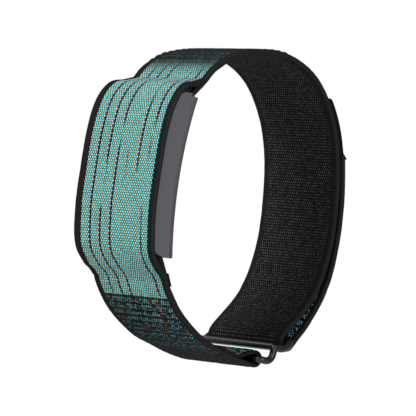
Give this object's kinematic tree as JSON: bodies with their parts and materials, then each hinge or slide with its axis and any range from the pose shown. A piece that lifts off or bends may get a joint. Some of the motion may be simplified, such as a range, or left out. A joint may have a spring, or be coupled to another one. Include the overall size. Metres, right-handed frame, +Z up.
{
  "type": "fitness tracker band",
  "caption": "Screenless wrist tracker: a curved sensor pod under the cover of a woven strap, with a three-bar buckle and a hook-ended tail.",
  "frame": {"origin": "centre of the wrist opening", "axes": "+X along the wrist, across the strap; -Y out through the cover over the pod; +Z up, with the pod upright"},
  "size_m": [0.0278, 0.0539, 0.0665],
  "materials": {
    "webbing": "woven colour-dotted webbing",
    "black_tape": "smooth black tape",
    "gunmetal": "glossy dark gunmetal",
    "pod_grey": "satin mid grey",
    "plate_grey": "satin darker grey",
    "gasket_rubber": "matt",
    "dark_glass": "polished, tinted",
    "led_lens": "clear",
    "black_plastic": "matt",
    "board_green": "solder mask",
    "battery_foil": "foil",
    "steel": "bright",
    "tungsten": "sintered",
    "gold": "gold plated"
  },
  "bodies": {
    "band": {"antenna_strip": "gold", "battery_cell": "battery_foil", "board_screw_1": "steel", "board_screw_2": "steel", "charge_pad_left": "gold", "charge_pad_right": "gold", "cover_panel": "webbing", "led_1": "led_lens", "led_2": "led_lens", "led_3": "led_lens", "light_barrier": "black_plastic", "lower_arm": "webbing", "lower_bar_barrel": "steel", "lower_bar_spring": "steel", "lower_fold_tab": "black_tape", "lower_pin_loop": "webbing", "main_board": "board_green", "motor_base": "steel", "motor_can": "steel", "photodiode_1": "black_plastic", "photodiode_2": "black_plastic", "photodiode_3": "black_plastic", "photodiode_4": "black_plastic", "pod_housing": "pod_grey", "power_chip": "black_plastic", "processor": "black_plastic", "radio_module": "black_plastic", "rear_cover": "plate_grey", "rear_gasket": "gasket_rubber", "sensor_window": "dark_glass", "skin_temp_sensor": "steel", "upper_arm": "webbing", "upper_bar_barrel": "steel", "upper_bar_spring": "steel", "upper_pin_loop": "webbing"},
    "motor_rotor": {"motor_rotor": "tungsten"},
    "buckle": {"buckle_frame": "gunmetal", "strap_turn": "webbing"},
    "tail": {"strap_tail": "webbing"},
    "tab": {"tail_tab": "black_tape"},
    "upper_tip_left": {"upper_bar_tip_left": "steel"},
    "upper_tip_right": {"upper_bar_tip_right": "steel"},
    "lower_tip_left": {"lower_bar_tip_left": "steel"},
    "lower_tip_right": {"lower_bar_tip_right": "steel"}
  },
  "joints": [
    {"name": "buckle_swing", "type": "hinge", "parent": "band", "child": "buckle", "pos_m": [0, 0.0088, -0.0301], "axis": [-1, 0, 0], "range_deg": [0, 12]},
    {"name": "tail_peel", "type": "hinge", "parent": "buckle", "child": "tail", "pos_m": [0, 0.01975, -0.02475], "axis": [-1, 0, 0], "range_deg": [0, 60]},
    {"name": "tab_peel", "type": "hinge", "parent": "tail", "child": "tab", "pos_m": [0, 0.0255, 0.0132], "axis": [-1, 0, 0], "range_deg": [0, 45]},
    {"name": "rotor_spin", "type": "hinge", "parent": "band", "child": "motor_rotor", "pos_m": [0.0056, -0.023, -0.0026], "axis": [0, 1, 0], "continuous": true},
    {"name": "upper_tip_left_slide", "type": "slide", "parent": "band", "child": "upper_tip_left", "axis": [1, 0, 0], "range_m": [0, 0.0012], "stiffness_N_per_m": 400, "springref_m": -0.001, "deforming": ["upper_bar_spring"]},
    {"name": "upper_tip_right_slide", "type": "slide", "parent": "band", "child": "upper_tip_right", "axis": [-1, 0, 0], "range_m": [0, 0.0012], "stiffness_N_per_m": 400, "springref_m": -0.001, "deforming": ["upper_bar_spring"]},
    {"name": "lower_tip_left_slide", "type": "slide", "parent": "band", "child": "lower_tip_left", "axis": [1, 0, 0], "range_m": [0, 0.0012], "stiffness_N_per_m": 400, "springref_m": -0.001, "deforming": ["lower_bar_spring"]},
    {"name": "lower_tip_right_slide", "type": "slide", "parent": "band", "child": "lower_tip_right", "axis": [-1, 0, 0], "range_m": [0, 0.0012], "stiffness_N_per_m": 400, "springref_m": -0.001, "deforming": ["lower_bar_spring"]}
  ]
}
